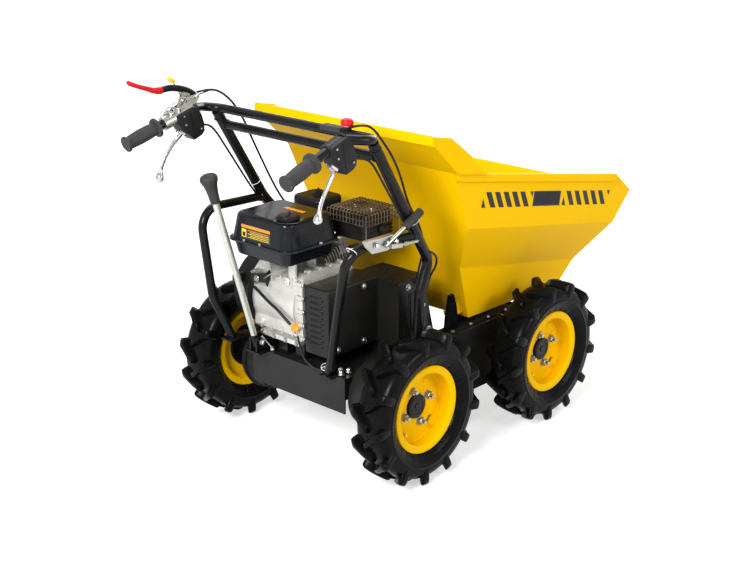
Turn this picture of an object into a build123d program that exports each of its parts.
"""Walk-behind site dumper: four driven wheels, a tipping skip, an open engine and a handlebar.

Frame while modelling: +X forward (towards the skip's nose), +Y left, +Z up, millimetres, with the
origin on the floor midway between the axles. The parts are moved along X on writing, so that the
written origin lies under the middle of the whole machine's length.
"""
import os
from math import atan2, cos, degrees, radians, sin, sqrt, tan

from build123d import *

# Wheels and tyres
WHEEL_TRACK = 665.0
WHEEL_BASE = 546.0
TYRE_RADIUS = 205.0
TYRE_WIDTH = 106.0
LUGS_PER_SIDE = 13
LUG_HEIGHT = 17.0
LUG_WIDTH = 21.0
LUG_SHOULDER_SHIFT = 42.0
BEAD_RADIUS = 101.5
BEAD_WIDTH = 54.0
RIM_FLANGE_RADIUS = 119.0
RIM_FLANGE_WALL = 3.0
RIM_WALL = 4.0
RIM_DISC_WALL = 4.0
RIM_DISC_RECESS = 37.0
RIM_CENTRE_RADIUS = 34.0
RIM_SLOT_LENGTH = 28.0
RIM_SLOT_WIDTH = 12.0
RIM_SLOT_RADIUS = 76.0
NUT_CIRCLE = 100.0
NUT_COUNT = 4
NUT_ACROSS = 17.0
NUT_HEIGHT = 12.0
STUD_RADIUS = 5.0
STUD_LENGTH = 22.0
STUD_HOLE_CLEARANCE = 1.0
TYRE_SEAT_CLEARANCE = 0.2

# Hubs and chain cases
HUB_FLANGE_RADIUS = 62.0
HUB_FLANGE_WALL = 8.0
HUB_BARREL_RADIUS = 33.0
HUB_NOSE_RADIUS = 31.0
HUB_NOSE_LENGTH = 8.0
SHAFT_RADIUS = 17.5
SHAFT_RUNNING_CLEARANCE = 0.05
HUB_SIDE_PLAY = 1.5
CASE_INNER_Y = 176.0
CASE_OUTER_Y = 236.0
CASE_RADIUS = 95.0
CASE_RIB = 5.0
BEARING_BOSS_RADIUS = 48.0
BEARING_BOSS_LENGTH = 14.0
SHAFT_BORE_DEPTH = 60.0
SHAFT_END_PLAY = 3.0

# Main frame and deck
RAIL_OUTER_Y = CASE_INNER_Y
RAIL_WIDTH = 40.0
RAIL_TOP_Z = 264.0
RAIL_HEIGHT = 56.0
DECK_WALL = 4.0
DECK_REAR_X = -380.0
DECK_FRONT_X = -60.0
SKIRT_LOW_Z = 169.0
DECK_HALF_WIDTH = RAIL_OUTER_Y
FOOT_TAB_LENGTH = 22.0
FOOT_TAB_WIDTH = 44.0
CROSS_MEMBER_WIDTH = 40.0
CROSS_MEMBER_HEIGHT = 40.0
CROSS_MEMBER_X = (-330.0, 30.0, 380.0)
GEARBOX_LENGTH = 190.0
GEARBOX_WIDTH = 190.0
GEARBOX_LOW_Z = 128.0
GEARBOX_TOP_Z = 258.0
GEARBOX_CENTRE_X = -120.0
OUTPUT_SHAFT_RADIUS = 15.0
OUTPUT_COLLAR_RADIUS = 30.0

# Skip
SKIP_WALL = 3.0
SKIP_SIDE_SLOPE = 0.186
SKIP_TOP_Z_AT_ZERO = 768.4
SKIP_TOP_HALF_WIDTH = 309.0
SKIP_BEND1_HALF_WIDTH = SKIP_TOP_HALF_WIDTH - 9.0
SKIP_BEND1_DROP = 151.0
SKIP_BEND2_HALF_WIDTH = SKIP_BEND1_HALF_WIDTH - 71.0
SKIP_BEND_RADIUS = 9.0
SKIP_BEND2_DROP = 278.0
SKIP_LOWER_SIDE_SLOPE = 0.151
SKIP_BACK_X_AT_ZERO = 228.0
SKIP_BACK_SLOPE = -0.43
SKIP_FRONT_X_AT_ZERO = 222.0
SKIP_FRONT_SLOPE = 0.887
SKIP_FLOOR_Z = 318.0
SKIP_NOSE_X = 738.0
SKIP_FRONT_TOP_X = 652.0
HEM_HEIGHT = 22.0
HEM_WIDTH = 9.0
HEM_END_INSET = 6.0
GUARD_REACH_X = -211.0
GUARD_TOP_Z = 880.0
GUARD_LIP_HEIGHT = 22.0
GUARD_LIP_WALL = 8.0
GUARD_HALF_WIDTH = 324.0
GUARD_WING_FRONT_X = 7.0

# Tipping pivot
PIVOT_X = 450.0
PIVOT_Z = 284.0
PIVOT_PIN_RADIUS = 12.5
PIVOT_RUNNING_CLEARANCE = 0.05
PIVOT_EYE_RADIUS = 20.0
PIVOT_EYE_WALL = 12.0
PIVOT_EYE_Y = 96.0
PIVOT_CHEEK_WALL = 12.0
PIVOT_CHEEK_Y = 78.0
PIVOT_CHEEK_RADIUS = 22.0
PIN_END = 10.0
REST_PAD_X = 130.0
REST_PAD_LENGTH = 60.0
REST_PAD_WIDTH = 36.0
REST_GAP = 0.3

# Skip latch
HOOK_WALL = 8.0
HOOK_Z = 352.0
HOOK_Y = -186.0
HOOK_REACH = 78.0
LATCH_WALL = 8.0
LATCH_GAP = 6.0
LATCH_TOP_Z = 404.0

# Handlebar, uprights and braces
HANDLE_TUBE = 24.0
UPRIGHT_TUBE = 28.0
BRACE_TUBE = 24.0
GRIP_END = (-677.0, 290.0, 868.0)
HANDLE_BEND = (-432.0, 266.0, 948.0)
HANDLE_BEND_RADIUS = 48.0
UPRIGHT_TOP = (-428.0, 268.0, 934.0)
UPRIGHT_KNEE = (-262.0, 268.0, 680.0)
UPRIGHT_BEND = (-160.0, 268.0, 562.0)
UPRIGHT_HEEL = (-192.0, 268.0, 480.0)
UPRIGHT_FOOT = (-184.0, 252.0, 300.0)
LOWER_BAR_AT = 0.262
BRACE_BEND = (-468.0, 272.0, 658.0)
BRACE_LEFT_KNEE = (-438.0, 268.0, 404.0)
BRACE_LEFT_FOOT = (-402.0, 234.0, 286.0)
BRACE_LEFT_KNEE_RADIUS = 90.0
BRACE_RIGHT_FOOT = (-384.0, 124.0, 268.0)
BRACE_TAB_LENGTH = 92.0
BRACE_TAB_WIDTH = 44.0
BRACE_TAB_WALL = 6.0
BRACE_JOINT_AT = 0.97
BRACE_BEND_RADIUS = 55.0
FOOT_PLATE_WALL = 5.0
BRACKET_LENGTH = 84.0
BRACKET_WALL = 5.0
BRACKET_TOP_Z = 470.0
GRIP_RADIUS = 17.0
GRIP_LENGTH = 104.0
GRIP_FLANGE_RADIUS = 24.0
GRIP_FLANGE_WALL = 8.0
GRIP_CLEARANCE = 0.2
GRIP_CAP_WALL = 6.0

# Controls
LEVER_BOX = (56.0, 40.0, 52.0)
LEVER_BOX_AT = 0.70
LEVER_THICKNESS = 11.0
LEVER_TIP_RADIUS = 11.0
CLAMP_WALL = 6.0
STOP_BUTTON_RADIUS = 13.5
STOP_BUTTON_FROM_BEND = 56.0
STOP_CLIP_WIDTH = 22.0
GEAR_LEVER_BASE = (-400.0, 136.0, 288.0)
GEAR_LEVER_TOP = (-490.0, 179.0, 700.0)
GEAR_BAR_WIDTH = 17.0
RELEASE_ROD_LOW = (-352.0, 657.0)
RELEASE_ROD_TOP = (-229.0, 714.0)
RELEASE_PLATE = ((-426.0, 676.0), (-322.0, 672.0), (-304.0, 642.0), (-340.0, 634.0), (-392.0, 636.0))
RELEASE_PLATE_WALL = 4.0
RELEASE_ROD_Y = -301.0
RELEASE_BOSS = (-380.0, 668.0)
RELEASE_ROD_RADIUS = 5.0
RELEASE_GRIP_RADIUS = 11.0
RELEASE_LINK_RADIUS = 4.0
RELEASE_LINK_END = (-232.0, 636.0)
GEAR_BAR_WALL = 7.0
KNOB_RADIUS = 22.0
KNOB_HEIGHT = 78.0
KNOB_STEM_RADIUS = 13.0
CABLE_DIAMETER = 6.0
CLUTCH_CABLE = (
    (-461, 270, 972), (-425, 262, 977), (-390, 258, 966), (-352, 256, 934), (-318, 255, 886),
    (-291, 255, 830), (-262, 252, 770), (-231, 248, 706), (-196, 246, 645), (-150, 244, 592),
    (-136, 240, 545), (-146, 230, 495), (-160, 228.7, 440))
LEFT_STEERING_CABLE = (
    (-476, 272, 893), (-452, 275, 883), (-424, 284, 880), (-396, 287, 868), (-350, 286.5, 800),
    (-300, 286.5, 726), (-258, 286.5, 664), (-206, 286, 606), (-150, 284, 580), (-128, 272, 545),
    (-138, 250, 500), (-150, 240.4, 430))
RIGHT_STEERING_CABLE = tuple((x, -y, z) for x, y, z in LEFT_STEERING_CABLE)
STOP_WIRE = (
    (-432, -228, 962), (-405, -246, 966), (-368, -256, 942), (-331, -260, 905), (-291, -261, 856),
    (-258, -258, 800), (-226, -250, 734), (-196, -246, 690), (-160, -242, 640), (-132, -228, 580),
    (-122, -208, 530), (-124, -192.7, 470))
DRAIN_HOSE = (
    (-394.5, -19, 352), (-398, -32, 322), (-398, -48, 292), (-392, -72, 276), (-384, -96, 272.5),
    (-376, -106, 271.3))

# Engine
CRANK_Y_MIN = -16.0
CRANK_Y_MAX = 168.0
CRANK_X_MIN = -374.0
CRANK_X_MAX = -200.0
ENGINE_BASE_Z = 316.0
CRANK_TOP_Z = 512.0
CRANK_BARREL_RADIUS = 94.0
CRANK_FLANGE_WALL = 11.0
CRANK_FLANGE_EDGE = 8.0
FOOT_EDGE = 16.0
FOOT_WALL = 12.0
CRANK_CHAMFER = 22.0
ENGINE_RAIL_Y = (8.0, 74.0)
ENGINE_RAIL_WIDTH = 32.0
SHAFT_AXIS_X = -290.0
SHAFT_AXIS_Z = 418.0
FAN_RADIUS = 104.0
FAN_HOUSING_END_Y = 228.0
RECOIL_END_Y = 250.0
FIN_COUNT = 9
FIN_PITCH = 9.5
FIN_WALL = 2.6
DUCT_END_X = -176.0
RECOIL_SLOTS = 12
CYLINDER_LEAN = 25.0
CYLINDER_BACK = 62.0
CYLINDER_DOWN = 42.0
TANK_POST_WALL = 6.0
TANK_POST_X = (-370.0, -300.0)
TANK_POST_Y = (20.0, 120.0)
TANK_POST_WIDTH = 26.0
TANK_X_MIN = -449.0
TANK_X_MAX = -252.0
TANK_Y_MIN = -43.0
TANK_Y_MAX = 183.0
TANK_LOW_Z = 552.0
TANK_SEAM_Z = 596.0
TANK_TOP_Z = 668.0
TANK_DRAFT = 13.0
SEAM_WIDTH = 7.0
SEAM_WALL = 6.0
CAP_RADIUS = 29.0
CAP_HEIGHT = 13.0
CLEANER_LOW_Z = 584.0
CLEANER_TOP_Z = 676.0
CLEANER_X_MAX = -140.0
CLEANER_NECK_RADIUS = 15.0
CLEANER_NECK_Y = 134.0
CLEANER_Y_MIN = 49.0
CLEANER_Y_MAX = 160.0
MUFFLER_X_MIN = -208.0
MUFFLER_X_MAX = -98.0
MUFFLER_Y_MIN = -92.0
MUFFLER_Y_MAX = 30.0
MUFFLER_LOW_Z = 582.0
MUFFLER_TOP_Z = 652.0
PORT_X = (-207.0, -178.0)
PORT_Y = (6.0, 28.0)
PORT_LOW_Z = 528.0
GUARD_GAP = 9.0
GUARD_POST_RADIUS = 4.0
GUARD_WIRE = 2.6
GUARD_PITCH = 20.0
COVER_X_MIN = -376.0
COVER_X_MAX = -72.0
COVER_Y_MIN = -116.0
COVER_Y_MAX = CRANK_Y_MIN - CRANK_FLANGE_WALL
COVER_LOW_Z = 304.0
COVER_TOP_Z = 492.0
COVER_SPLIT_X = -186.0
COVER_EDGE_RADIUS = 7.0
WIDE_COVER_Y_MIN = -190.0
WIDE_COVER_LOW_Z = 312.0
WIDE_COVER_TOP_Z = 484.0
WIDE_COVER_FOOT_Y = -168.0
LOUVRE_COUNT = 9
LOUVRE_PITCH = 16.0
LOUVRE_EDGE = 20.0

WHEEL_Y = WHEEL_TRACK / 2
AXLE_X = WHEEL_BASE / 2
AXLE_Z = TYRE_RADIUS
SKIP_NOSE_Z = (SKIP_NOSE_X - SKIP_FRONT_X_AT_ZERO) / SKIP_FRONT_SLOPE


def block(x0, x1, y0, y1, z0, z1):
    """A box between two corners."""
    size = Box(x1 - x0, y1 - y0, z1 - z0)
    return Pos((x0 + x1) / 2, (y0 + y1) / 2, (z0 + z1) / 2) * size


def mirror_y(shape):
    """The same piece on the right-hand side."""
    return shape.mirror(Plane.XZ)


def point_between(a, b, share):
    """The point a share of the way from a to b."""
    return tuple(p + (q - p) * share for p, q in zip(a, b))


def flip(point):
    """A point's twin on the other side of the machine."""
    return (point[0], -point[1], point[2])


def side_plate(points, y0, y1):
    """A plate whose outline is given as x, z points, between two y values."""
    outline = Plane.XZ * Polyline(*[(x, z) for x, z in points], close=True)
    face = make_face(outline)
    depth = extrude(face, amount=y1 - y0, dir=(0, 1, 0))
    return Pos(0, y0, 0) * depth


def rod(start, end, radius):
    """A round bar between two points."""
    direction = Vector(*end) - Vector(*start)
    plane = Plane(origin=start, z_dir=direction)
    return extrude(plane * Circle(radius), amount=direction.length)


def y_disc(x, z, radius, y0, y1):
    """A cylinder along Y between two y values."""
    return rod((x, y0, z), (x, y1, z), radius)


def bent_tube(points, diameter, bend_radii):
    """A round bar along straight runs joined by tangent arcs."""
    if len(points) == 2:
        path = Line(*points)
    else:
        path = FilletPolyline(*points, radius=bend_radii)
    section = Plane(origin=path @ 0, z_dir=path % 0) * Circle(diameter / 2)
    return sweep(section, path=path)


def lathe(profile, y_centre, side):
    """Revolve points of (distance outboard from y_centre, radius) about the wheel's own axis."""
    points = [(radius, y_centre + side * off) for off, radius in profile]
    outline = make_face(Polyline(*points, close=True))
    return revolve(outline, axis=Axis.Y, revolution_arc=360)


# Wheels

def lug_solid(half, angle):
    """One tread lug: a bar from the tread's middle out over one shoulder, bent like an arrow's arm."""
    base_r = TYRE_RADIUS - LUG_HEIGHT - 5
    low = lug_outline(half, LUG_WIDTH + 6, base_r)
    top = lug_outline(half, LUG_WIDTH - 3, TYRE_RADIUS + 4)
    lug = loft([low, top], ruled=True)
    return Rot(0, angle, 0) * lug


def lug_outline(half, width, height):
    """Outline of a lug at a height over the axle, lying in a plane of constant Z."""
    edge = TYRE_WIDTH / 2
    shift = LUG_SHOULDER_SHIFT / 2
    w = width / 2
    points = [
        (-shift - w, -4 * half),
        (-shift + w, -4 * half),
        (shift + w, 30 * half),
        (shift + w, edge * half),
        (shift - w, edge * half),
        (shift - w - 4, 30 * half),
    ]
    outline = Polyline(*points, close=True)
    return Pos(0, 0, height) * make_face(outline)


def make_tyre():
    """Tyre about the Y axis at the origin, with staggered lugs on both halves."""
    tread = TYRE_RADIUS - LUG_HEIGHT
    profile = [
        (BEAD_WIDTH / 2, BEAD_RADIUS),
        (BEAD_WIDTH / 2, RIM_FLANGE_RADIUS - 2),
        (BEAD_WIDTH / 2 + 9, RIM_FLANGE_RADIUS + 3),
        (TYRE_WIDTH / 2 - 3, RIM_FLANGE_RADIUS + 27),
        (TYRE_WIDTH / 2 - 4, tread - 18),
        (TYRE_WIDTH / 2 - 14, tread - 4),
        (0, tread),
    ]
    mirrored = [(-off, radius) for off, radius in reversed(profile[:-1])]
    outline = [(radius, off) for off, radius in profile + mirrored]
    carcass = revolve(make_face(Polyline(*outline, close=True)), axis=Axis.Y)
    step = 360 / LUGS_PER_SIDE
    lugs = []
    for index in range(LUGS_PER_SIDE):
        lugs.append(lug_solid(1, index * step))
        lugs.append(lug_solid(-1, (index + 0.5) * step))
    tyre = carcass.fuse(*lugs)
    envelope = y_disc(0, 0, TYRE_RADIUS, -TYRE_WIDTH, TYRE_WIDTH)
    return (tyre & envelope).solid()


def make_rim(side):
    """Pressed rim about the Y axis at the origin: barrel with two flanges and a recessed disc."""
    seat = BEAD_RADIUS - TYRE_SEAT_CLEARANCE
    inner = seat - RIM_WALL
    edge = BEAD_WIDTH / 2 + TYRE_SEAT_CLEARANCE
    lip = edge + RIM_FLANGE_WALL
    profile = [
        (-lip, inner),
        (-lip, RIM_FLANGE_RADIUS - 3),
        (-edge, RIM_FLANGE_RADIUS - 3),
        (-edge, seat),
        (edge, seat),
        (edge, RIM_FLANGE_RADIUS - 3),
        (lip, RIM_FLANGE_RADIUS - 3),
        (lip, inner),
    ]
    barrel = lathe(profile, 0, side)
    disc_y = disc_outer_offset()
    disc = lathe([(disc_y - RIM_DISC_WALL, RIM_CENTRE_RADIUS), (disc_y, RIM_CENTRE_RADIUS),
                  (disc_y, inner + 1), (disc_y - RIM_DISC_WALL, inner + 1)], 0, side)
    rim = barrel.fuse(disc)
    cutters = []
    reach = side * (disc_y + 20)
    for x, z in nut_places():
        cutters.append(y_disc(x, z, STUD_RADIUS + STUD_HOLE_CLEARANCE, 0 - reach, reach))
    for turn in (45.0,):
        slot = Box(RIM_SLOT_WIDTH, 60, RIM_SLOT_LENGTH)
        cutters.append(Rot(0, turn, 0) * Pos(RIM_SLOT_RADIUS, side * disc_y, 0) * slot)
    return rim.cut(*cutters)


def disc_outer_offset():
    """How far outboard of the wheel's mid-plane the disc's outer face lies."""
    return BEAD_WIDTH / 2 + TYRE_SEAT_CLEARANCE + RIM_FLANGE_WALL - RIM_DISC_RECESS


def nut_places():
    """x, z of each wheel nut round the axle."""
    places = []
    for index in range(NUT_COUNT):
        angle = radians(index * 360 / NUT_COUNT + 20)
        places.append((NUT_CIRCLE / 2 * cos(angle), NUT_CIRCLE / 2 * sin(angle)))
    return places


def make_hub(side):
    """Hub about the Y axis at the origin: nose, flange with studs and nuts, barrel and shaft."""
    face = disc_outer_offset() - RIM_DISC_WALL
    boss_face = CASE_OUTER_Y + BEARING_BOSS_LENGTH - WHEEL_Y
    barrel_end = boss_face + HUB_SIDE_PLAY
    shaft_end = CASE_OUTER_Y + BEARING_BOSS_LENGTH - SHAFT_BORE_DEPTH + SHAFT_END_PLAY - WHEEL_Y
    nose = face + RIM_DISC_WALL + HUB_NOSE_LENGTH
    profile = [
        (nose, 0), (nose, HUB_NOSE_RADIUS - 6), (nose - 6, HUB_NOSE_RADIUS), (face, HUB_NOSE_RADIUS),
        (face, HUB_FLANGE_RADIUS), (face - HUB_FLANGE_WALL, HUB_FLANGE_RADIUS),
        (face - HUB_FLANGE_WALL, HUB_BARREL_RADIUS), (barrel_end, HUB_BARREL_RADIUS),
        (barrel_end, SHAFT_RADIUS), (shaft_end, SHAFT_RADIUS), (shaft_end, 0),
    ]
    hub = lathe(profile, 0, side)
    extras = []
    disc = disc_outer_offset()
    for x, z in nut_places():
        extras.append(y_disc(x, z, STUD_RADIUS, side * (face - 1), side * (disc + STUD_LENGTH)))
        hexagon = extrude(Plane.XZ * RegularPolygon(NUT_ACROSS / sqrt(3), 6), amount=-NUT_HEIGHT)
        if side < 0:
            hexagon = mirror_y(hexagon)
        extras.append(Pos(x, side * disc, z) * hexagon)
    return hub.fuse(*extras)


def wheel_parts():
    """Tyre, rim and hub of the four wheels, each under its own name."""
    parts = {}
    tyre = make_tyre()
    for end, x in (("front", AXLE_X), ("rear", -AXLE_X)):
        for name, side in (("left", 1), ("right", -1)):
            place = Pos(x, side * WHEEL_Y, AXLE_Z)
            parts["tyre_%s_%s" % (end, name)] = place * tyre
            parts["rim_%s_%s" % (end, name)] = place * make_rim(side)
            parts["hub_%s_%s" % (end, name)] = place * make_hub(side)
    return parts


# Chassis

def make_chain_case():
    """Left chain case: a long rounded case between the two axles, with a bearing boss at each."""
    outline = Plane.XZ * Pos(0, AXLE_Z) * SlotCenterToCenter(WHEEL_BASE, 2 * CASE_RADIUS)
    case = extrude(outline, amount=CASE_OUTER_Y - CASE_INNER_Y, dir=(0, 1, 0))
    case = Pos(0, CASE_INNER_Y, 0) * case
    rib_face = Plane.XZ * Pos(0, AXLE_Z) * SlotCenterToCenter(WHEEL_BASE, 2 * (CASE_RADIUS + CASE_RIB))
    rib = Pos(0, CASE_OUTER_Y - 18, 0) * extrude(rib_face, amount=6, dir=(0, 1, 0))
    case = case.fuse(rib)
    boss_face = CASE_OUTER_Y + BEARING_BOSS_LENGTH
    for x in (-AXLE_X, AXLE_X):
        case = case.fuse(y_disc(x, AXLE_Z, BEARING_BOSS_RADIUS, CASE_OUTER_Y - 2, boss_face))
    for x in (-AXLE_X, AXLE_X):
        bore = SHAFT_RADIUS + SHAFT_RUNNING_CLEARANCE
        case = case.cut(y_disc(x, AXLE_Z, bore, boss_face - SHAFT_BORE_DEPTH, boss_face + 1))
    return case


def make_main_frame():
    """Two rails, cross members, engine rails, pivot cheeks and rest pads as one welding."""
    rail_low = RAIL_TOP_Z - RAIL_HEIGHT
    inner = RAIL_OUTER_Y - RAIL_WIDTH
    front = PIVOT_X - 10
    rear = DECK_REAR_X + DECK_WALL
    frame = block(rear, front, inner, RAIL_OUTER_Y, rail_low, RAIL_TOP_Z)
    frame = frame.fuse(block(rear, front, -RAIL_OUTER_Y, -inner, rail_low, RAIL_TOP_Z))
    for x in CROSS_MEMBER_X:
        half = CROSS_MEMBER_WIDTH / 2
        low = RAIL_TOP_Z - CROSS_MEMBER_HEIGHT
        frame = frame.fuse(block(x - half, x + half, -inner - 1, inner + 1, low, RAIL_TOP_Z))
    cross_x = CROSS_MEMBER_X[-1]
    for side in (1, -1):
        y0 = side * PIVOT_CHEEK_Y - PIVOT_CHEEK_WALL / 2
        y1 = side * PIVOT_CHEEK_Y + PIVOT_CHEEK_WALL / 2
        cheek = side_plate([(cross_x - 20, RAIL_TOP_Z - 36), (cross_x - 20, RAIL_TOP_Z + 2),
                            (PIVOT_X - 14, PIVOT_Z + 17), (PIVOT_X + 10, PIVOT_Z - 20),
                            (PIVOT_X - 20, RAIL_TOP_Z - 36)], y0, y1)
        eye = y_disc(PIVOT_X, PIVOT_Z, PIVOT_CHEEK_RADIUS, y0, y1)
        frame = frame.fuse(cheek, eye)
    hole = PIVOT_PIN_RADIUS + PIVOT_RUNNING_CLEARANCE
    frame = frame.cut(y_disc(PIVOT_X, PIVOT_Z, hole, -120, 120))
    pad_top = SKIP_FLOOR_Z - REST_GAP
    for side in (1, -1):
        y = side * (inner + RAIL_WIDTH / 2)
        post = block(REST_PAD_X - REST_PAD_LENGTH / 2, REST_PAD_X + REST_PAD_LENGTH / 2,
                     y - REST_PAD_WIDTH / 2, y + REST_PAD_WIDTH / 2, RAIL_TOP_Z - 1, pad_top)
        frame = frame.fuse(post)
    return frame


def make_deck_plate():
    """Folded deck plate with its rear skirt and the tab that carries the right brace's foot."""
    top = RAIL_TOP_Z + DECK_WALL
    deck = block(DECK_REAR_X, DECK_FRONT_X, -DECK_HALF_WIDTH, DECK_HALF_WIDTH, RAIL_TOP_Z, top)
    skirt = block(DECK_REAR_X, DECK_REAR_X + DECK_WALL, -DECK_HALF_WIDTH, DECK_HALF_WIDTH,
                  SKIRT_LOW_Z, top)
    deck = deck.fuse(skirt)
    y = -BRACE_RIGHT_FOOT[1]
    tab = block(DECK_REAR_X - FOOT_TAB_LENGTH, DECK_REAR_X + 2,
                y - FOOT_TAB_WIDTH / 2, y + FOOT_TAB_WIDTH / 2, RAIL_TOP_Z, top)
    return deck.fuse(tab)


def make_gearbox():
    """Centre gearbox with its two output shafts reaching the chain cases."""
    half = GEARBOX_LENGTH / 2
    box = block(GEARBOX_CENTRE_X - half, GEARBOX_CENTRE_X + half, -GEARBOX_WIDTH / 2, GEARBOX_WIDTH / 2,
                GEARBOX_LOW_Z, GEARBOX_TOP_Z)
    box = fillet(box.edges().filter_by(Axis.Y), 18)
    shaft_z = RAIL_TOP_Z - RAIL_HEIGHT - OUTPUT_SHAFT_RADIUS - 6
    shaft = y_disc(GEARBOX_CENTRE_X, shaft_z, OUTPUT_SHAFT_RADIUS, -CASE_INNER_Y, CASE_INNER_Y)
    collar = y_disc(GEARBOX_CENTRE_X, shaft_z, OUTPUT_COLLAR_RADIUS, -GEARBOX_WIDTH / 2 - 14,
                    GEARBOX_WIDTH / 2 + 14)
    return box.fuse(shaft, collar)


def make_pivot_pin():
    """Pin through the frame's cheeks and the skip's hinge eyes."""
    reach = PIVOT_EYE_Y + PIVOT_EYE_WALL / 2 + PIN_END
    pin = y_disc(PIVOT_X, PIVOT_Z, PIVOT_PIN_RADIUS, -reach, reach)
    return pin


# Skip

def skip_section_half_width(drop, inset):
    """Half width of the skip at a drop below its top line, moved in by a wall thickness."""
    if drop <= SKIP_BEND1_DROP:
        share = drop / SKIP_BEND1_DROP
        return SKIP_TOP_HALF_WIDTH + (SKIP_BEND1_HALF_WIDTH - SKIP_TOP_HALF_WIDTH) * share - inset
    if drop <= SKIP_BEND2_DROP:
        share = (drop - SKIP_BEND1_DROP) / (SKIP_BEND2_DROP - SKIP_BEND1_DROP)
        return SKIP_BEND1_HALF_WIDTH + (SKIP_BEND2_HALF_WIDTH - SKIP_BEND1_HALF_WIDTH) * share - inset
    return SKIP_BEND2_HALF_WIDTH - (drop - SKIP_BEND2_DROP) * SKIP_LOWER_SIDE_SLOPE - inset


def skip_solid(inset, extra_top):
    """The skip's outline as a full solid, its walls moved in by inset and its top raised."""
    deepest = 480.0
    middle_inset = inset * sqrt(1 + ((SKIP_BEND1_HALF_WIDTH - SKIP_BEND2_HALF_WIDTH)
                                     / (SKIP_BEND2_DROP - SKIP_BEND1_DROP)) ** 2)
    lift = (middle_inset - inset) * 0.5
    drops = [-extra_top, SKIP_BEND1_DROP - lift, SKIP_BEND2_DROP - lift, deepest]
    widths = [skip_section_half_width(0, inset), skip_section_half_width(SKIP_BEND1_DROP, inset),
              skip_section_half_width(SKIP_BEND2_DROP, inset), skip_section_half_width(deepest, inset)]
    right = [(w, -d) for w, d in zip(widths, drops)]
    left = [(-w, -d) for w, d in reversed(list(zip(widths, drops)))]
    start_x = -600.0
    plane = Plane(origin=(start_x, 0, SKIP_TOP_Z_AT_ZERO - SKIP_SIDE_SLOPE * start_x),
                  x_dir=(0, 1, 0), z_dir=(1, 0, 0))
    section = plane * make_face(Polyline(*(right + left), close=True))
    reach = 1600.0
    prism = extrude(section, amount=reach, dir=Vector(1, 0, -SKIP_SIDE_SLOPE).normalized())
    profile = skip_side_profile(inset, extra_top)
    side = side_plate(profile, -500, 500)
    tub = (prism & side).solid()
    run = Vector(1, 0, -SKIP_SIDE_SLOPE).normalized()
    bends = []
    for edge in tub.edges():
        middle = edge @ 0.5
        level = skip_top_z(middle.X) - middle.Z
        along = abs(edge.tangent_at(0.5).dot(run)) > 0.999
        if along and SKIP_BEND1_DROP / 2 < level < deepest and abs(middle.Y) > SKIP_BEND2_HALF_WIDTH / 2:
            bends.append(edge)
    return fillet(bends, SKIP_BEND_RADIUS - inset)


def skip_side_profile(inset, extra_top):
    """x, z outline of the skip seen from the side."""
    back_inset = inset * sqrt(1 + SKIP_BACK_SLOPE ** 2)
    front_inset = inset * sqrt(1 + SKIP_FRONT_SLOPE ** 2)
    floor = SKIP_FLOOR_Z + inset
    top_z = SKIP_TOP_Z_AT_ZERO - SKIP_SIDE_SLOPE * SKIP_BACK_X_AT_ZERO
    back_top_z = top_z / (1 + SKIP_SIDE_SLOPE * SKIP_BACK_SLOPE)
    back_x = SKIP_BACK_X_AT_ZERO + back_inset
    front_x = SKIP_FRONT_X_AT_ZERO - front_inset
    nose_z = SKIP_NOSE_Z
    points = [
        (back_x + SKIP_BACK_SLOPE * floor, floor),
        (back_x + SKIP_BACK_SLOPE * (back_top_z + extra_top), back_top_z + extra_top),
        (SKIP_FRONT_TOP_X, skip_top_z(SKIP_FRONT_TOP_X) + extra_top),
        (front_x + SKIP_FRONT_SLOPE * (nose_z + extra_top), nose_z + extra_top),
        (front_x + SKIP_FRONT_SLOPE * floor, floor),
    ]
    return points


def skip_top_z(x):
    """Height of the skip's side top line."""
    return SKIP_TOP_Z_AT_ZERO - SKIP_SIDE_SLOPE * x


def back_top_point():
    """x, z of the back panel's top edge."""
    z = (SKIP_TOP_Z_AT_ZERO - SKIP_SIDE_SLOPE * SKIP_BACK_X_AT_ZERO) / (1 + SKIP_SIDE_SLOPE * SKIP_BACK_SLOPE)
    return (SKIP_BACK_X_AT_ZERO + SKIP_BACK_SLOPE * z, z)


def make_skip_tub():
    """Folded sheet tub, open at the top, with a box hem along each side's top edge."""
    outer = skip_solid(0, 0)
    inner = skip_solid(SKIP_WALL, 60)
    tub = outer.cut(inner)
    hems = []
    back_x = back_top_point()[0]
    x0 = back_x + HEM_END_INSET
    x1 = SKIP_FRONT_TOP_X - HEM_END_INSET
    for side in (1, -1):
        points = [(x0, skip_top_z(x0)), (x1, skip_top_z(x1)),
                  (x1, skip_top_z(x1) - HEM_HEIGHT), (x0 + 8, skip_top_z(x0) - HEM_HEIGHT)]
        inner_y = SKIP_TOP_HALF_WIDTH - 2.5
        y0 = min(side * inner_y, side * (inner_y + HEM_WIDTH))
        hems.append(side_plate(points, y0, y0 + HEM_WIDTH))
    return tub.fuse(*hems)


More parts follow.
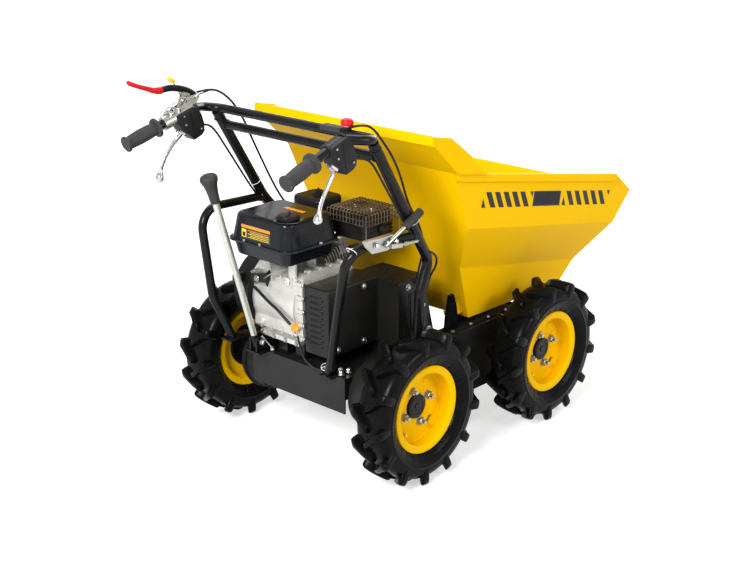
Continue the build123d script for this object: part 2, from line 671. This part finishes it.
def make_back_guard():
    """Raised guard behind the skip: a leaning sheet with a thick lip and a wing at each side."""
    foot_x, foot_z = back_top_point()
    wall = SKIP_WALL
    gap = 0.2
    sheet = side_plate([(foot_x - 1, foot_z + gap), (foot_x + wall + 1, foot_z + gap),
                        (GUARD_REACH_X + wall + 2, GUARD_TOP_Z + 2), (GUARD_REACH_X, GUARD_TOP_Z)],
                       -GUARD_HALF_WIDTH + wall, GUARD_HALF_WIDTH - wall)
    lip = block(GUARD_REACH_X - 2, GUARD_REACH_X + GUARD_LIP_WALL - 2, -GUARD_HALF_WIDTH, GUARD_HALF_WIDTH,
                GUARD_TOP_Z - 2, GUARD_TOP_Z + GUARD_LIP_HEIGHT)
    guard = sheet.fuse(lip)
    wing = [(GUARD_REACH_X, GUARD_TOP_Z), (GUARD_REACH_X + 4, GUARD_TOP_Z + GUARD_LIP_HEIGHT - 1),
            (-141, 888), (-94, 849), (GUARD_WING_FRONT_X, skip_top_z(GUARD_WING_FRONT_X) + gap),
            (foot_x, foot_z + gap)]
    for side in (1, -1):
        y0 = side * (GUARD_HALF_WIDTH - wall / 2) - wall / 2
        guard = guard.fuse(side_plate(wing, y0, y0 + wall))
    return guard


def make_skip_hinges():
    """Hinge eyes under the skip's floor, with a stiffening plate across them."""
    plate_wall = 5.0
    reach = PIVOT_EYE_Y + PIVOT_EYE_WALL / 2 + 14
    top = SKIP_FLOOR_Z
    plate = block(PIVOT_X - 60, PIVOT_X + 36, -reach, reach, top - plate_wall, top)
    hinge = plate
    for side in (1, -1):
        y0 = side * PIVOT_EYE_Y - PIVOT_EYE_WALL / 2
        y1 = y0 + PIVOT_EYE_WALL
        ear = block(PIVOT_X - PIVOT_EYE_RADIUS, PIVOT_X + PIVOT_EYE_RADIUS, y0, y1, PIVOT_Z, top - 1)
        hinge = hinge.fuse(ear, y_disc(PIVOT_X, PIVOT_Z, PIVOT_EYE_RADIUS, y0, y1))
    hole = PIVOT_PIN_RADIUS + PIVOT_RUNNING_CLEARANCE
    return hinge.cut(y_disc(PIVOT_X, PIVOT_Z, hole, -reach - 5, reach + 5))


def back_face_x(z):
    """x of the skip's outer back face at a height."""
    return SKIP_BACK_X_AT_ZERO + SKIP_BACK_SLOPE * z


def make_skip_hook():
    """Latch hook welded low on the skip's back panel, its mouth open upwards."""
    top = HOOK_Z + 24
    low = HOOK_Z - 20
    tip = back_face_x(low) - HOOK_REACH
    points = [(back_face_x(top), top), (back_face_x(low), low), (tip + 30, low), (tip + 8, HOOK_Z - 12),
              (tip, HOOK_Z + 2), (tip + 7, HOOK_Z + 4), (tip + 16, HOOK_Z - 6), (tip + 34, HOOK_Z - 6),
              (tip + 48, HOOK_Z + 8)]
    return side_plate(points, HOOK_Y - HOOK_WALL / 2, HOOK_Y + HOOK_WALL / 2)


def make_skip_latch():
    """Latch on the right chain case: a post behind the hook and a catch bar over its mouth."""
    low = HOOK_Z - 20
    tip = back_face_x(low) - HOOK_REACH
    foot_z = AXLE_Z + CASE_RADIUS
    y0 = HOOK_Y - HOOK_WALL / 2 - LATCH_GAP - LATCH_WALL
    post = side_plate([(tip - 14, foot_z), (tip + 44, foot_z), (tip + 34, HOOK_Z + 12),
                       (tip + 20, LATCH_TOP_Z), (tip + 2, LATCH_TOP_Z), (tip - 8, HOOK_Z)],
                      y0, y0 + LATCH_WALL)
    return post


# Handles

def handle_line():
    """Centre line points of the handlebar, from the left grip round to the right one."""
    return [GRIP_END, HANDLE_BEND, flip(HANDLE_BEND), flip(GRIP_END)]


def make_handlebar():
    """One tube bent twice: two handles and the top cross bar."""
    return bent_tube(handle_line(), HANDLE_TUBE, HANDLE_BEND_RADIUS)


def upright_line():
    """Centre line points of the left upright."""
    return [UPRIGHT_TOP, UPRIGHT_KNEE, UPRIGHT_BEND, UPRIGHT_HEEL, UPRIGHT_FOOT]


def handle_bend_middle():
    """Centre line point in the middle of the left-hand bend of the handlebar."""
    corner = Vector(*HANDLE_BEND)
    back = (Vector(*GRIP_END) - corner).normalized()
    across = Vector(0, -1, 0)
    half_turn = radians(180 - back.get_angle(across)) / 2
    inward = (back + across).normalized()
    return corner + inward * (HANDLE_BEND_RADIUS * (1 / cos(half_turn) - 1))


def make_upright(handlebar):
    """Left upright tube with its saddle at the handlebar, bracket plate and foot."""
    tube = bent_tube(upright_line(), UPRIGHT_TUBE, [160, 34, 60])
    saddle = rod(UPRIGHT_TOP, tuple(handle_bend_middle()), UPRIGHT_TUBE / 2)
    knuckle = Pos(*UPRIGHT_TOP) * Sphere(UPRIGHT_TUBE / 2)
    tube = tube.fuse(saddle, knuckle).cut(handlebar)
    tube = tube.solids().sort_by(SortBy.VOLUME)[-1]
    case_top = AXLE_Z + CASE_RADIUS + CASE_RIB
    inner_y = UPRIGHT_FOOT[1] - UPRIGHT_TUBE / 2 - 6
    x0 = UPRIGHT_FOOT[0] - 8
    plate = side_plate([(x0, case_top + 1), (x0 + BRACKET_LENGTH + 20, case_top + 1),
                        (x0 + BRACKET_LENGTH, BRACKET_TOP_Z - 90), (x0 + 60, BRACKET_TOP_Z),
                        (x0 - 6, BRACKET_TOP_Z)], inner_y, inner_y + BRACKET_WALL)
    foot = block(x0 - 10, x0 + BRACKET_LENGTH + 20, CASE_INNER_Y + 20, UPRIGHT_FOOT[1] + 12,
                 case_top, case_top + FOOT_PLATE_WALL)
    link = block(x0, x0 + 20, inner_y, UPRIGHT_FOOT[1], case_top + 1, case_top + 60)
    return tube.fuse(plate, foot, link)


def lower_bar_point():
    """Where the lower cross bar meets the left upright's centre line."""
    return point_between(UPRIGHT_TOP, UPRIGHT_KNEE, LOWER_BAR_AT)


def make_lower_bar():
    """Straight tube between the two uprights."""
    point = lower_bar_point()
    reach = point[1] - UPRIGHT_TUBE / 2
    return y_disc(point[0], point[2], HANDLE_TUBE / 2, -reach, reach)


def brace_start():
    """Where the braces leave the uprights, just inside the tube."""
    joint = point_between(UPRIGHT_TOP, UPRIGHT_KNEE, BRACE_JOINT_AT)
    return (joint[0] - 2, joint[1], joint[2])


def make_left_brace(upright, case):
    """Left brace: back from the upright, down beside the engine, to a plate on the chain case."""
    tube = bent_tube([brace_start(), BRACE_BEND, BRACE_LEFT_KNEE, BRACE_LEFT_FOOT], BRACE_TUBE,
                     [BRACE_BEND_RADIUS, BRACE_LEFT_KNEE_RADIUS])
    x, y, z = BRACE_LEFT_FOOT
    half = BRACE_TAB_WIDTH / 2
    plate = block(x - BRACE_TUBE, x - BRACE_TUBE + BRACE_TAB_LENGTH, y - half, y + half,
                  z - BRACE_TAB_WALL, z)
    below = block(x - 80, x + 80, y - 80, y + 80, z - 80, z - BRACE_TAB_WALL)
    brace = tube.cut(upright, below).fuse(plate).cut(case)
    return brace.solids().sort_by(SortBy.VOLUME)[-1]


def make_right_brace(upright):
    """Right brace, made on the left: back from the upright, then down and in to the deck's tab."""
    tube = bent_tube([brace_start(), BRACE_BEND, BRACE_RIGHT_FOOT], BRACE_TUBE, BRACE_BEND_RADIUS)
    floor = RAIL_TOP_Z + DECK_WALL
    below = block(-600, 0, 0, 400, floor - 100, floor)
    tube = tube.cut(below, upright)
    return tube.solids().sort_by(SortBy.VOLUME)[-1]


def handle_direction():
    """Unit vector from the left grip's end towards the bend."""
    direction = Vector(*HANDLE_BEND) - Vector(*GRIP_END)
    return direction.normalized()


def make_grip():
    """Left rubber grip with an end cap and a hand stop."""
    direction = handle_direction()
    start = Vector(*GRIP_END) - direction * GRIP_CAP_WALL
    plane = Plane(origin=start, x_dir=Vector(0, 0, 1).cross(direction), z_dir=direction)
    bore = HANDLE_TUBE / 2 + GRIP_CLEARANCE
    length = GRIP_LENGTH
    profile = [
        (0, 0), (GRIP_FLANGE_RADIUS - 3, 0), (GRIP_FLANGE_RADIUS - 3, 7), (GRIP_RADIUS, 12),
        (GRIP_RADIUS + 3, length * 0.45), (GRIP_RADIUS - 1, length - GRIP_FLANGE_WALL - 6),
        (GRIP_FLANGE_RADIUS + 2, length - GRIP_FLANGE_WALL), (GRIP_FLANGE_RADIUS + 2, length),
        (bore, length), (bore, GRIP_CAP_WALL - GRIP_CLEARANCE), (0, GRIP_CAP_WALL - GRIP_CLEARANCE),
    ]
    outline = Plane.XZ * make_face(Polyline(*profile, close=True))
    shape = revolve(outline, axis=Axis.Z)
    return plane.location * shape


def make_lever_housing():
    """Left lever housing hanging under the handle, clamped round the tube."""
    point = Vector(*point_between(GRIP_END, HANDLE_BEND, LEVER_BOX_AT))
    direction = handle_direction()
    length, width, height = LEVER_BOX
    pitch = degrees(atan2(direction.Z, direction.X))
    body = Box(length, width, height)
    body = fillet(body.edges().filter_by(Axis.Y), 6)
    body = Pos(0, 0, -height / 2 + 8) * body
    place = Pos(point.X, point.Y, point.Z) * Rot(0, -pitch, 0)
    body = place * body
    bore = rod(tuple(point - direction * 60), tuple(point + direction * 60), HANDLE_TUBE / 2 + 0.1)
    return body.cut(bore)


def lever_points():
    """Centre line of the left steering lever, from its housing down to its ball end."""
    point = point_between(GRIP_END, HANDLE_BEND, LEVER_BOX_AT)
    x, y, z = point
    steps = ((18, 0, 43.5), (42, 4, 62), (66, 9, 104), (76, 12, 146))
    return [(x - back, y + out, z - down) for back, out, down in steps]


def make_steering_lever():
    """Left steering lever: a curved bar with a ball end."""
    points = lever_points()
    bar = bent_tube(points, LEVER_THICKNESS, [22, 60])
    ball = Pos(*points[-1]) * Sphere(LEVER_TIP_RADIUS)
    return bar.fuse(ball)


def make_clutch_lever():
    """Long hand lever over the left handle: a bent flat bar."""
    y = HANDLE_BEND[1] + 6
    points = [(-460, 950), (-466, 962), (-500, 978), (-548, 988), (-580, 984), (-625, 996),
              (-676, 1022), (-679, 1030), (-626, 1012), (-582, 1000), (-548, 1002), (-500, 994),
              (-462, 980)]
    return side_plate(points, y - 7, y + 7)


def make_clutch_clamp(housing, lever):
    """Clamp that carries the clutch lever on top of the left handle."""
    direction = handle_direction()
    start = Vector(*point_between(GRIP_END, HANDLE_BEND, 0.44))
    end = Vector(*point_between(GRIP_END, HANDLE_BEND, 0.80))
    ring = rod(tuple(start), tuple(end), HANDLE_TUBE / 2 + CLAMP_WALL)
    bore = rod(tuple(start - direction * 5), tuple(end + direction * 5), HANDLE_TUBE / 2 + 0.1)
    y = HANDLE_BEND[1] + 6
    web = side_plate([(-530, 926), (-488, 940), (-485, 972), (-508, 980)], y - 5, y + 5)
    clamp = ring.fuse(web).cut(bore, housing, lever)
    return clamp.solids().sort_by(SortBy.VOLUME)[-1]


def make_stop_button():
    """Mushroom stop button beside the right-hand bend of the handlebar."""
    x, y, z = flip(HANDLE_BEND)
    y = y + STOP_BUTTON_FROM_BEND
    half = STOP_CLIP_WIDTH / 2
    head_z = z + HANDLE_TUBE / 2 + 8
    body = rod((x, y, z), (x, y, head_z), 10)
    head = rod((x, y, head_z), (x, y, head_z + 12), STOP_BUTTON_RADIUS)
    clip = y_disc(x, z, HANDLE_TUBE / 2 + 4, y - half, y + half)
    shape = body.fuse(head, clip)
    return shape.cut(y_disc(x, z, HANDLE_TUBE / 2 + 0.1, y - 30, y + 30))


def make_gear_lever():
    """Flat bar of the gear lever, leaning back from its gate."""
    base = Vector(*GEAR_LEVER_BASE)
    top = Vector(*GEAR_LEVER_TOP)
    direction = (top - base).normalized()
    plane = Plane(origin=base, x_dir=Vector(0, 1, 0).cross(direction).normalized(), z_dir=direction)
    length = (top - base).length
    bar = Pos(0, 0, length / 2) * Box(GEAR_BAR_WIDTH, GEAR_BAR_WALL, length)
    return plane.location * bar


def make_gear_knob():
    """Tapered rubber knob on the gear lever."""
    base = Vector(*GEAR_LEVER_BASE)
    top = Vector(*GEAR_LEVER_TOP)
    direction = (top - base).normalized()
    plane = Plane(origin=top, x_dir=Vector(0, 1, 0).cross(direction).normalized(), z_dir=direction)
    profile = [(0, 0), (KNOB_STEM_RADIUS, 0), (KNOB_STEM_RADIUS + 2, KNOB_HEIGHT * 0.4),
               (KNOB_RADIUS, KNOB_HEIGHT * 0.72), (KNOB_RADIUS, KNOB_HEIGHT * 0.86),
               (KNOB_RADIUS * 0.7, KNOB_HEIGHT), (0, KNOB_HEIGHT)]
    shape = revolve(Plane.XZ * make_face(Polyline(*profile, close=True)), axis=Axis.Z)
    return plane.location * shape


def make_gear_gate():
    """Gate bracket on the deck that the gear lever pivots in."""
    x, y, z = GEAR_LEVER_BASE
    floor = RAIL_TOP_Z + DECK_WALL
    base = block(x - 16, x + 100, y - 26, y + 26, floor, floor + 5)
    left = block(x - 14, x + 60, y + 10, y + 15, floor, z + 24)
    right = block(x - 14, x + 60, y - 15, y - 10, floor, z + 24)
    pin = y_disc(x, z + 14, 6, y - 22, y + 22)
    gate = base.fuse(left, right, pin)
    bar = make_gear_lever()
    return gate.cut(bar)


def make_release_lever(brace):
    """Skip release on the right brace: a bracket plate, a rod with a rubber grip and its link."""
    outer = RELEASE_ROD_Y + RELEASE_ROD_RADIUS
    plate = side_plate(RELEASE_PLATE, outer, outer + RELEASE_PLATE_WALL)
    low = (RELEASE_ROD_LOW[0], RELEASE_ROD_Y, RELEASE_ROD_LOW[1])
    top = (RELEASE_ROD_TOP[0], RELEASE_ROD_Y, RELEASE_ROD_TOP[1])
    bar = rod(low, top, RELEASE_ROD_RADIUS)
    grip = rod(point_between(low, top, 0.5), top, RELEASE_GRIP_RADIUS)
    pivot = y_disc(low[0], low[2], RELEASE_ROD_RADIUS + 4, RELEASE_ROD_Y - 7, outer + 1)
    corner = RELEASE_PLATE[3]
    link_y = outer - RELEASE_LINK_RADIUS / 2
    link = rod((corner[0], link_y, corner[1] + 8), (RELEASE_LINK_END[0], link_y, RELEASE_LINK_END[1]),
               RELEASE_LINK_RADIUS)
    boss = y_disc(RELEASE_BOSS[0], RELEASE_BOSS[1], BRACE_TUBE / 2 - 2, outer + 1, -BRACE_BEND[1])
    lever = plate.fuse(bar, grip, pivot, link, boss).cut(brace)
    return lever.solids().sort_by(SortBy.VOLUME)[-1]


def make_cables(neighbours):
    """Control cables and the drain hose, each along its real route, ending on its neighbours."""
    strands = []
    for route in (CLUTCH_CABLE, LEFT_STEERING_CABLE, RIGHT_STEERING_CABLE, STOP_WIRE, DRAIN_HOSE):
        strand = cord(route).cut(*neighbours)
        strands.append(strand.solids().sort_by(SortBy.VOLUME)[-1])
    cables = strands[0]
    for strand in strands[1:]:
        cables = cables + strand
    return cables


def cord(points):
    """A cable's tube: straight runs joined by arcs as large as the runs allow."""
    radii = []
    for index in range(1, len(points) - 1):
        before = Vector(*points[index]) - Vector(*points[index - 1])
        after = Vector(*points[index + 1]) - Vector(*points[index])
        turn = radians(before.get_angle(after))
        radii.append(0.45 * min(before.length, after.length) / tan(turn / 2))
    return bent_tube(points, CABLE_DIAMETER, radii)


# Engine

def make_crankcase():
    """Cast crankcase: barrel, side cover flange, base flange and the four posts for the tank."""
    case = block(CRANK_X_MIN, CRANK_X_MAX, CRANK_Y_MIN, CRANK_Y_MAX, ENGINE_BASE_Z, CRANK_TOP_Z)
    case = chamfer(case.edges().filter_by(Axis.Y), CRANK_CHAMFER)
    barrel = y_disc(SHAFT_AXIS_X, SHAFT_AXIS_Z - 6, CRANK_BARREL_RADIUS, CRANK_Y_MIN + 24, CRANK_Y_MAX - 2)
    edge = CRANK_FLANGE_EDGE
    flange = block(CRANK_X_MIN - edge, CRANK_X_MAX + edge, CRANK_Y_MIN - CRANK_FLANGE_WALL, CRANK_Y_MIN + 1,
                   ENGINE_BASE_Z + edge, CRANK_TOP_Z + edge)
    flange = fillet(flange.edges().filter_by(Axis.Y), CRANK_CHAMFER + edge)
    base = block(CRANK_X_MIN - FOOT_EDGE / 2, CRANK_X_MAX + FOOT_EDGE, CRANK_Y_MIN + 6, CRANK_Y_MAX - 30,
                 ENGINE_BASE_Z, ENGINE_BASE_Z + FOOT_WALL)
    case = case.fuse(barrel, flange, base)
    half = TANK_POST_WIDTH / 2
    for x in TANK_POST_X:
        for y in TANK_POST_Y:
            post = block(x - TANK_POST_WALL / 2, x + TANK_POST_WALL / 2, y - half, y + half,
                         CRANK_TOP_Z - CRANK_CHAMFER, TANK_LOW_Z)
            case = case.fuse(post)
    return case


def make_engine_rails():
    """Two rails on the deck under the crankcase."""
    floor = RAIL_TOP_Z + DECK_WALL
    rails = []
    for y in ENGINE_RAIL_Y:
        rails.append(block(CRANK_X_MIN + 14, CRANK_X_MAX + 60, y - ENGINE_RAIL_WIDTH / 2,
                           y + ENGINE_RAIL_WIDTH / 2, floor, ENGINE_BASE_Z))
    return rails[0].fuse(rails[1])


def cylinder_plane():
    """Plane at the cylinder's foot, its Z axis along the bore."""
    lean = radians(CYLINDER_LEAN)
    return Plane(origin=(CRANK_X_MAX - CYLINDER_BACK, 60, CRANK_TOP_Z - CYLINDER_DOWN), x_dir=(0, 1, 0),
                 z_dir=(cos(lean), 0, sin(lean)))


def make_cylinder(crankcase):
    """Cylinder and head with cooling fins, its foot cut to seat on the crankcase."""
    plane = cylinder_plane()
    core = Pos(0, 0, 50) * Box(74, 82, 100)
    shape = core
    for index in range(FIN_COUNT):
        z = 24 + index * FIN_PITCH
        shape = shape.fuse(Pos(0, 0, z) * Box(112, 112, FIN_WALL))
    rocker = Pos(0, 0, 24 + FIN_COUNT * FIN_PITCH + 5) * Box(66, 84, 30)
    shape = shape.fuse(fillet(rocker.edges().filter_by(Axis.Z), 14))
    port = block(PORT_X[0], PORT_X[1], PORT_Y[0], PORT_Y[1], PORT_LOW_Z, MUFFLER_LOW_Z)
    shape = (plane.location * shape).fuse(port).cut(crankcase)
    return shape.solids().sort_by(SortBy.VOLUME)[-1]


def make_fan_housing():
    """Fan housing with its duct towards the cylinder, and the recoil starter with its slots."""
    y0 = CRANK_Y_MAX
    drum = y_disc(SHAFT_AXIS_X, SHAFT_AXIS_Z, FAN_RADIUS, y0, FAN_HOUSING_END_Y)
    top = SHAFT_AXIS_Z + FAN_RADIUS
    duct = side_plate([(SHAFT_AXIS_X, top), (DUCT_END_X, top + 26), (DUCT_END_X, top - 74),
                       (SHAFT_AXIS_X + FAN_RADIUS * 0.8, SHAFT_AXIS_Z)], y0, FAN_HOUSING_END_Y - 14)
    cap = y_disc(SHAFT_AXIS_X, SHAFT_AXIS_Z, FAN_RADIUS * 0.74, FAN_HOUSING_END_Y - 1, RECOIL_END_Y)
    cap = fillet(cap.edges().sort_by(Axis.Y)[-1], 8)
    housing = drum.fuse(duct, cap)
    slots = []
    for index in range(RECOIL_SLOTS):
        slot = block(FAN_RADIUS * 0.32, FAN_RADIUS * 0.62, RECOIL_END_Y - 9, RECOIL_END_Y + 1, -4, 4)
        place = Pos(SHAFT_AXIS_X, 0, SHAFT_AXIS_Z) * Rot(0, index * 360 / RECOIL_SLOTS, 0)
        slots.append(place * slot)
    grip = block(SHAFT_AXIS_X - FAN_RADIUS - 16, SHAFT_AXIS_X - FAN_RADIUS + 12, y0 + 26, y0 + 44,
                 SHAFT_AXIS_Z + 34, SHAFT_AXIS_Z + 60)
    return housing.cut(*slots).fuse(fillet(grip.edges().filter_by(Axis.X), 6))


def tank_ring(z, inset, corner):
    """Outline of the tank at a height, moved in from its largest size."""
    ring = RectangleRounded(TANK_X_MAX - TANK_X_MIN - 2 * inset, TANK_Y_MAX - TANK_Y_MIN - 2 * inset, corner)
    return Pos((TANK_X_MIN + TANK_X_MAX) / 2, (TANK_Y_MIN + TANK_Y_MAX) / 2, z) * ring


def make_fuel_tank():
    """Two pressed halves, each drawn in towards its end, joined at a seam flange."""
    low = loft([tank_ring(TANK_LOW_Z, TANK_DRAFT, 22), tank_ring(TANK_SEAM_Z, 3, 30)])
    low = fillet(low.faces().sort_by(Axis.Z)[0].edges(), 8)
    top = loft([tank_ring(TANK_SEAM_Z, 0, 32), tank_ring(TANK_TOP_Z, TANK_DRAFT, 26)])
    top = fillet(top.faces().sort_by(Axis.Z)[-1].edges(), 13)
    seam = extrude(tank_ring(TANK_SEAM_Z - SEAM_WALL / 2, -SEAM_WIDTH, 36), amount=SEAM_WALL, dir=(0, 0, 1))
    return low.fuse(top, seam)


def make_fuel_cap():
    """Round filler cap on the tank, with a raised finger bar."""
    x = TANK_X_MIN + 50
    y = TANK_Y_MIN + 46
    cap = rod((x, y, TANK_TOP_Z), (x, y, TANK_TOP_Z + CAP_HEIGHT), CAP_RADIUS)
    cap = fillet(cap.edges().sort_by(Axis.Z)[-1], 3)
    bar = block(x - CAP_RADIUS + 5, x + CAP_RADIUS - 5, y - 5, y + 5, TANK_TOP_Z + CAP_HEIGHT - 1,
                TANK_TOP_Z + CAP_HEIGHT + 5)
    return cap.fuse(fillet(bar.edges().filter_by(Axis.Z), 4))


def make_air_cleaner(crankcase):
    """Air cleaner beside the tank: case, domed cover with its wing nut, and the neck below."""
    x0 = TANK_X_MAX + SEAM_WIDTH + 5
    box = block(x0, CLEANER_X_MAX, CLEANER_Y_MIN, CLEANER_Y_MAX, CLEANER_LOW_Z, CLEANER_TOP_Z)
    box = fillet(box.edges().filter_by(Axis.Z), 24)
    box = fillet(box.faces().sort_by(Axis.Z)[-1].edges(), 9)
    band = block(x0 - 2.5, CLEANER_X_MAX + 2.5, CLEANER_Y_MIN - 2.5, CLEANER_Y_MAX + 2.5,
                 CLEANER_LOW_Z + 34, CLEANER_LOW_Z + 40)
    band = fillet(band.edges().filter_by(Axis.Z), 25)
    x = (x0 + CLEANER_X_MAX) / 2
    y = (CLEANER_Y_MIN + CLEANER_Y_MAX) / 2
    knob = rod((x, y, CLEANER_TOP_Z - 1), (x, y, CLEANER_TOP_Z + 9), 11)
    neck_x = x0 + CLEANER_NECK_RADIUS
    neck = rod((neck_x, CLEANER_NECK_Y, CRANK_TOP_Z - CRANK_CHAMFER),
               (neck_x, CLEANER_NECK_Y, CLEANER_LOW_Z + 2), CLEANER_NECK_RADIUS)
    return box.fuse(band, knob, neck).cut(crankcase)


def make_muffler():
    """Muffler box over the cylinder head."""
    box = block(MUFFLER_X_MIN, MUFFLER_X_MAX, MUFFLER_Y_MIN, MUFFLER_Y_MAX, MUFFLER_LOW_Z, MUFFLER_TOP_Z)
    box = fillet(box.edges().filter_by(Axis.Z), 16)
    y = (MUFFLER_Y_MIN + MUFFLER_Y_MAX) / 2
    for x in (MUFFLER_X_MIN + 25, MUFFLER_X_MAX - 25):
        post = rod((x, y, MUFFLER_TOP_Z - 1), (x, y, MUFFLER_TOP_Z + GUARD_GAP), GUARD_POST_RADIUS)
        box = box.fuse(post)
    return box


def make_muffler_guard():
    """Guard over the muffler: hoops of wire both ways over the top and level rings round the sides."""
    x0 = MUFFLER_X_MIN - GUARD_GAP - GUARD_WIRE
    x1 = MUFFLER_X_MAX + GUARD_GAP + GUARD_WIRE
    y0 = MUFFLER_Y_MIN - GUARD_GAP - GUARD_WIRE
    y1 = MUFFLER_Y_MAX + GUARD_GAP + GUARD_WIRE
    z0 = MUFFLER_LOW_Z
    z1 = MUFFLER_TOP_Z + GUARD_GAP + GUARD_WIRE
    wires = []
    for y in spaced(y0 + GUARD_WIRE / 2, y1 - GUARD_WIRE / 2, GUARD_PITCH):
        wires.append(hoop(x0, x1, y - GUARD_WIRE / 2, y + GUARD_WIRE / 2, z0, z1, "x"))
    for x in spaced(x0 + GUARD_WIRE / 2, x1 - GUARD_WIRE / 2, GUARD_PITCH):
        wires.append(hoop(x - GUARD_WIRE / 2, x + GUARD_WIRE / 2, y0, y1, z0, z1, "y"))
    for z in spaced(z0 + GUARD_WIRE / 2, z1 - GUARD_PITCH, GUARD_PITCH):
        outer = block(x0, x1, y0, y1, z - GUARD_WIRE / 2, z + GUARD_WIRE / 2)
        inner = block(x0 + GUARD_WIRE, x1 - GUARD_WIRE, y0 + GUARD_WIRE, y1 - GUARD_WIRE, z - 9, z + 9)
        wires.append(outer.cut(inner))
    return wires[0].fuse(*wires[1:])


def spaced(first, last, pitch):
    """Evenly spaced places from first to last, about a pitch apart."""
    count = max(1, round((last - first) / pitch))
    return [first + (last - first) * index / count for index in range(count + 1)]


def hoop(x0, x1, y0, y1, z0, z1, way):
    """A square wire bent over the top: up one side, across, and down the other."""
    outer = block(x0, x1, y0, y1, z0, z1)
    if way == "x":
        inner = block(x0 + GUARD_WIRE, x1 - GUARD_WIRE, y0 - 1, y1 + 1, z0 - 1, z1 - GUARD_WIRE)
    else:
        inner = block(x0 - 1, x1 + 1, y0 + GUARD_WIRE, y1 - GUARD_WIRE, z0 - 1, z1 - GUARD_WIRE)
    return outer.cut(inner)


def make_drive_cover():
    """Wide cover over the drive to the gearbox, standing on the deck."""
    top = block(COVER_SPLIT_X, COVER_X_MAX, WIDE_COVER_Y_MIN, COVER_Y_MAX, WIDE_COVER_LOW_Z,
                WIDE_COVER_TOP_Z)
    top = fillet(top.edges().filter_by(Axis.X).sort_by(Axis.Z)[-2:], COVER_EDGE_RADIUS)
    top = fillet(top.edges().filter_by(Axis.Y).sort_by(Axis.Z)[-1:], COVER_EDGE_RADIUS)
    foot = block(COVER_SPLIT_X + 6, COVER_X_MAX - 6, WIDE_COVER_FOOT_Y, COVER_Y_MAX, RAIL_TOP_Z + DECK_WALL,
                 WIDE_COVER_LOW_Z + 1)
    return top.fuse(foot)


def make_belt_cover():
    """Narrow cover over the belt beside the crankcase, with louvres in its back face."""
    cover = block(COVER_X_MIN, COVER_SPLIT_X - 0.3, COVER_Y_MIN, COVER_Y_MAX - 0.3, COVER_LOW_Z, COVER_TOP_Z)
    cover = fillet(cover.edges().filter_by(Axis.X), COVER_EDGE_RADIUS)
    cover = chamfer(cover.faces().sort_by(Axis.X)[0].edges(), 3)
    slots = []
    span = (LOUVRE_COUNT - 1) * LOUVRE_PITCH
    first = (COVER_LOW_Z + COVER_TOP_Z - span) / 2
    for index in range(LOUVRE_COUNT):
        z = first + index * LOUVRE_PITCH
        slots.append(block(COVER_X_MIN - 1, COVER_X_MIN + 6, COVER_Y_MIN + LOUVRE_EDGE,
                           COVER_Y_MAX - LOUVRE_EDGE, z - 3, z + 3))
    return cover.cut(*slots)


def build_all():
    """Every node of the machine, by name."""
    parts = wheel_parts()
    case = make_chain_case()
    parts["chain_case_left"] = case
    parts["chain_case_right"] = mirror_y(case)
    parts["main_frame"] = make_main_frame()
    parts["deck_plate"] = make_deck_plate()
    parts["gearbox"] = make_gearbox()
    parts["pivot_pin"] = make_pivot_pin()
    parts["skip_tub"] = make_skip_tub()
    parts["skip_back_guard"] = make_back_guard()
    parts["skip_hinges"] = make_skip_hinges()
    parts["skip_hook"] = make_skip_hook()
    parts["skip_latch"] = make_skip_latch()
    handlebar = make_handlebar()
    parts["handlebar"] = handlebar
    upright = make_upright(handlebar)
    parts["upright_left"] = upright
    parts["upright_right"] = mirror_y(upright)
    parts["lower_bar"] = make_lower_bar()
    parts["brace_left"] = make_left_brace(upright, case)
    parts["brace_right"] = mirror_y(make_right_brace(upright))
    grip = make_grip()
    parts["grips"] = grip + mirror_y(grip)
    housing = make_lever_housing()
    parts["lever_housings"] = housing + mirror_y(housing)
    lever = make_steering_lever()
    parts["steering_levers"] = lever + mirror_y(lever)
    clutch_lever = make_clutch_lever()
    parts["clutch_lever"] = clutch_lever
    parts["clutch_clamp"] = make_clutch_clamp(housing, clutch_lever)
    parts["stop_button"] = make_stop_button()
    parts["gear_lever"] = make_gear_lever()
    parts["gear_knob"] = make_gear_knob()
    parts["gear_gate"] = make_gear_gate()
    parts["release_lever"] = make_release_lever(parts["brace_right"])
    crankcase = make_crankcase()
    parts["crankcase"] = crankcase
    parts["engine_rails"] = make_engine_rails()
    parts["cylinder"] = make_cylinder(crankcase)
    parts["fan_housing"] = make_fan_housing()
    parts["fuel_tank"] = make_fuel_tank()
    parts["fuel_cap"] = make_fuel_cap()
    parts["air_cleaner"] = make_air_cleaner(crankcase)
    parts["muffler"] = make_muffler()
    parts["muffler_guard"] = make_muffler_guard()
    parts["drive_cover"] = make_drive_cover()
    parts["belt_cover"] = make_belt_cover()
    beside_cables = ("lever_housings", "handlebar", "clutch_lever", "upright_left", "upright_right",
                     "release_lever", "brace_left", "brace_right", "crankcase", "deck_plate", "drive_cover")
    parts["control_cables"] = make_cables([parts[name] for name in beside_cables])
    return parts


def rear_reach():
    """x of the rearmost point, the low edge of the grips' end caps."""
    direction = handle_direction()
    centre = GRIP_END[0] - GRIP_CAP_WALL * direction.X
    return centre - (GRIP_FLANGE_RADIUS - 3) * sqrt(1 - direction.X ** 2)


def origin_shift():
    """How far the finished parts move along X to bring the origin under the middle."""
    return -(SKIP_NOSE_X + rear_reach()) / 2


def write_all(parts):
    """Write each node to its own STEP file, in the frame with its origin under the middle."""
    os.makedirs("parts", exist_ok=True)
    shift = origin_shift()
    for name, shape in parts.items():
        placed = Pos(shift, 0, 0) * shape
        placed.label = name
        export_step(placed, "parts/%s.step" % name)


write_all(build_all())
